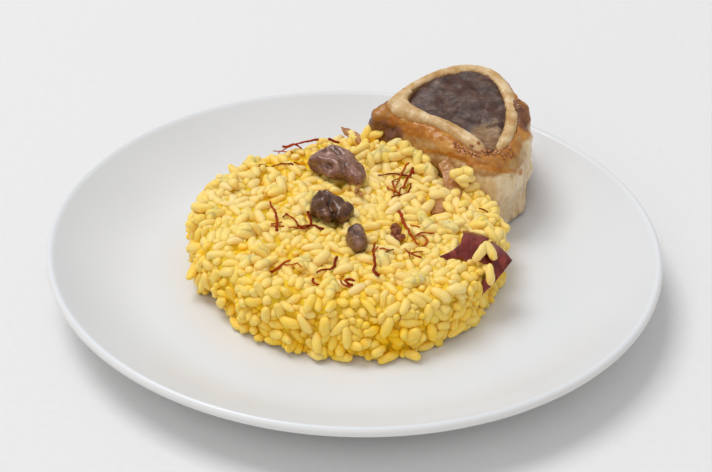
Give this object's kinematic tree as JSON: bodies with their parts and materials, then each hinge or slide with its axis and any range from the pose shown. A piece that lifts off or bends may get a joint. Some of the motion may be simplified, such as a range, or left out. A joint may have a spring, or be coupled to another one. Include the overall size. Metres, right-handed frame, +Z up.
{
  "type": "saffron risotto",
  "caption": "Round cake of saffron risotto with marrow lumps and saffron threads, and a slice of braised veal shank behind it, on a white coupe plate.",
  "frame": {"origin": "centre of the plate, in the plane of the foot ring that it stands on", "axes": "+Z up along the plate's axis, -Y towards the eater, +X to the eater's right; the shank stands behind the rice on the +X +Y side"},
  "size_m": [0.254, 0.254, 0.0619],
  "materials": {
    "porcelain": "smooth white glaze",
    "rice": "moist, softly glossy",
    "bone": "sawn, smooth",
    "marrow": "spongy, moist",
    "veal": "seared and glazed",
    "marrow_lump": "moist, glossy",
    "pale_veal": "moist",
    "red_skin": "moist, glossy"
  },
  "bodies": {
    "root": {"plate": "porcelain", "risotto": "rice", "shank_meat": "veal", "shank_bone": "bone", "shank_marrow": "marrow", "marrow_piece_1": "marrow_lump", "marrow_piece_2": "marrow_lump", "marrow_piece_3": "marrow_lump", "meat_bit_1": "pale_veal", "meat_bit_2": "pale_veal", "meat_bit_3": "pale_veal", "red_slip_1": "red_skin", "red_slip_2": "red_skin"}
  },
  "joints": []
}
